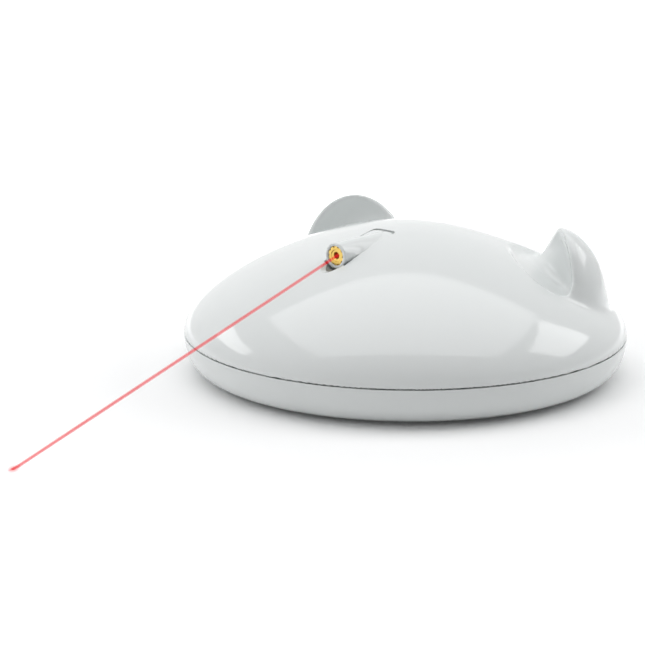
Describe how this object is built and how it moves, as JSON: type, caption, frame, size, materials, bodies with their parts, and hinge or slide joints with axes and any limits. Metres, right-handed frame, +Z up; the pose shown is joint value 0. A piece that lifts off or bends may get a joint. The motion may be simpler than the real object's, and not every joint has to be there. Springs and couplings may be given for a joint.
{
  "type": "automatic cat laser toy",
  "caption": "Round white automatic laser toy for cats: a domed top with moulded cat ears turns on a shallow round base and carries a small tilting laser barrel with a brass module in its nose.",
  "frame": {"origin": "middle of the underside, on the floor", "axes": "+Z up, -Y the way the laser points at rest, +X to the right when facing the laser (looking along +Y)"},
  "size_m": [0.15, 0.15, 0.0508],
  "materials": {
    "gloss_white": "injection moulded, polished to a high gloss",
    "rubber": "matt moulded rubber",
    "nylon": "natural acetal, as moulded",
    "steel": "nickel plated",
    "copper": "bare copper, worn bright",
    "circuit_board": "solder mask",
    "black_plastic": "as moulded",
    "switch_metal": "tinned steel frame",
    "cell_jacket": "plain printed film on a steel can",
    "brass": "turned brass",
    "lens": "coated moulded lens"
  },
  "bodies": {
    "base": {"base_shell": "gloss_white", "rubber_feet": "rubber", "chassis_plate": "nylon", "chassis_screws": "steel", "gear_bridge": "nylon", "bridge_screws": "steel", "gear_pins": "steel", "thrust_washer": "nylon", "slip_ring_board": "circuit_board", "slip_rings": "copper", "motor_can": "steel", "motor_end_cap": "black_plastic", "motor_screws": "steel", "main_board": "circuit_board", "board_components": "black_plastic", "board_screws": "steel", "slide_switch": "switch_metal", "battery_contacts": "steel", "battery_springs": "steel", "battery_cells": "cell_jacket"},
    "top": {"top_shell": "gloss_white", "drive_hub": "nylon", "pivot_screw": "steel", "pivot_washer": "nylon", "brush_block": "black_plastic", "brush_pins": "copper", "brush_screws": "steel", "tilt_pin": "steel"},
    "gear_2": {"compound_gear_2": "nylon"},
    "gear_1": {"compound_gear_1": "nylon"},
    "rotor": {"motor_pinion": "brass", "motor_shaft": "steel"},
    "barrel": {"barrel_shell": "gloss_white", "laser_housing": "brass", "lens_ring": "brass", "laser_lens": "lens", "lens_spring": "steel", "laser_diode": "brass", "laser_board": "circuit_board"},
    "knob": {"mode_knob": "black_plastic"},
    "door": {"battery_door": "gloss_white"}
  },
  "joints": [
    {"name": "top_turn", "type": "hinge", "parent": "base", "child": "top", "pos_m": [0, 0, 0.0135], "axis": [0, 0, 1], "continuous": true},
    {"name": "gear_2_spin", "type": "hinge", "parent": "base", "child": "gear_2", "pos_m": [-0.01516, -0.00875, 0.022], "axis": [0, 0, 1], "continuous": true},
    {"name": "gear_1_spin", "type": "hinge", "parent": "base", "child": "gear_1", "pos_m": [-0.01733, -0.02106, 0.026], "axis": [0, 0, 1], "continuous": true},
    {"name": "rotor_spin", "type": "hinge", "parent": "base", "child": "rotor", "pos_m": [-0.00558, -0.02533, 0.026], "axis": [0, 0, 1], "continuous": true},
    {"name": "barrel_tilt", "type": "hinge", "parent": "top", "child": "barrel", "pos_m": [0, -0.02, 0.0411], "axis": [1, 0, 0], "range_deg": [-6, 8]},
    {"name": "knob_slide", "type": "slide", "parent": "base", "child": "knob", "axis": [1, 0, 0], "range_m": [-0.003, 0.003]},
    {"name": "door_swing", "type": "hinge", "parent": "base", "child": "door", "pos_m": [0, 0.0463, 0.0019], "axis": [1, 0, 0], "range_deg": [0, 70]}
  ],
  "couplings": [
    {"joint": "gear_2_spin", "follows": "top_turn", "ratio": -6},
    {"joint": "gear_1_spin", "follows": "top_turn", "ratio": 24},
    {"joint": "rotor_spin", "follows": "top_turn", "ratio": -96}
  ]
}
